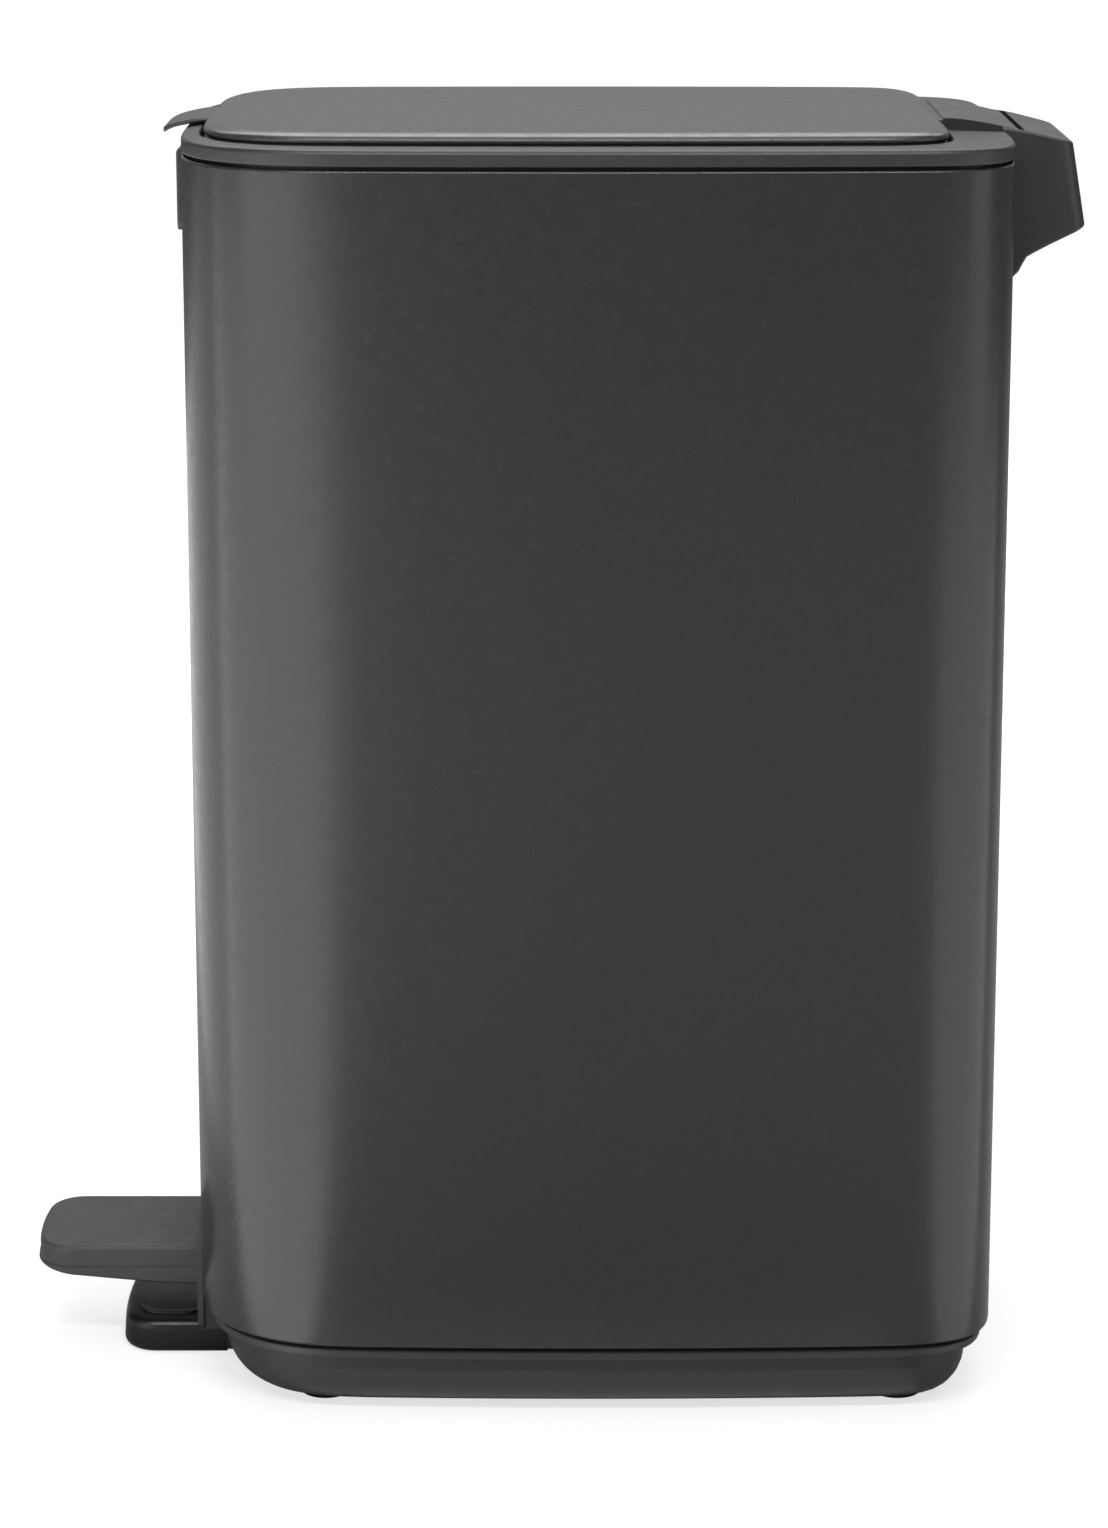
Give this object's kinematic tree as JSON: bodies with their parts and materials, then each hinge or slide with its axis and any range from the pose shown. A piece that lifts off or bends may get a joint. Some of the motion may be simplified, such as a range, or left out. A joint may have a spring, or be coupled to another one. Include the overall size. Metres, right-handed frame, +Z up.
{
  "type": "pedal trash can",
  "caption": "Kitchen pedal bin: a coated steel body with a lid that a foot pedal lifts through a lever, push rod and crank, and an inner bucket with a wire bail.",
  "frame": {"origin": "bottom centre of the whole object's box, on the floor", "axes": "+Z up; the pedal points along -Y and the hinge and rear grip are towards +Y; X runs across the width"},
  "size_m": [0.167, 0.3294, 0.4],
  "materials": {
    "coated_steel": "fine textured matt coating",
    "badge_metal": "satin",
    "moulded_plastic": "fine moulded grain",
    "gloss_plastic": "glossy",
    "soft_rubber": "matt",
    "steel": "zinc plated",
    "nylon": "natural",
    "channel_steel": "matt coating",
    "bucket_plastic": "fine moulded grain"
  },
  "bodies": {
    "bin": {"body_shell": "coated_steel", "base_pan": "moulded_plastic", "base_feet": "soft_rubber", "top_ring": "moulded_plastic", "hinge_pin": "steel", "lid_buffers": "soft_rubber", "rear_grip": "moulded_plastic", "grip_screws": "steel", "badge_plate": "badge_metal", "pedal_bezel": "moulded_plastic", "front_foot": "gloss_plastic", "foot_pad": "soft_rubber", "foot_screws": "steel", "rod_channel": "channel_steel", "rod_guides": "nylon", "pivot_blocks": "nylon", "pivot_screws": "steel", "pedal_axle": "steel", "axle_clips": "steel"},
    "lid": {"lid_panel": "coated_steel", "lid_liner": "moulded_plastic", "hinge_bridge": "moulded_plastic", "lid_screws": "steel", "crank_bracket": "steel", "crank_pin": "steel"},
    "pedal": {"pedal_lever": "steel", "lever_bush": "nylon", "lever_pin": "steel", "pedal_top_shell": "moulded_plastic", "pedal_bottom_shell": "moulded_plastic", "pedal_screws": "steel"},
    "rod": {"push_rod": "steel", "rod_head": "nylon", "rod_foot": "nylon"},
    "bucket": {"inner_bucket": "bucket_plastic"},
    "bail": {"bucket_bail": "steel", "bail_grip": "bucket_plastic"}
  },
  "joints": [
    {"name": "lid_swing", "type": "hinge", "parent": "bin", "child": "lid", "pos_m": [0, 0.13625, 0.3915], "axis": [-1, 0, 0], "range_deg": [0, 80]},
    {"name": "pedal_press", "type": "hinge", "parent": "bin", "child": "pedal", "pos_m": [0, -0.04675, 0.012], "axis": [1, 0, 0], "range_deg": [0, 8]},
    {"name": "rod_lift", "type": "slide", "parent": "bin", "child": "rod", "axis": [0, 0, 1], "range_m": [0, 0.0233]},
    {"name": "bucket_lift", "type": "slide", "parent": "bin", "child": "bucket", "axis": [0, 0, 1], "range_m": [0, 0.006]},
    {"name": "bail_swing", "type": "hinge", "parent": "bucket", "child": "bail", "pos_m": [0, 0.00525, 0.376], "axis": [-1, 0, 0], "range_deg": [0, 5]}
  ],
  "couplings": [
    {"joint": "pedal_press", "follows": "lid_swing", "ratio": 0.1},
    {"joint": "rod_lift", "follows": "lid_swing", "m_per_rad": 0.016686}
  ]
}
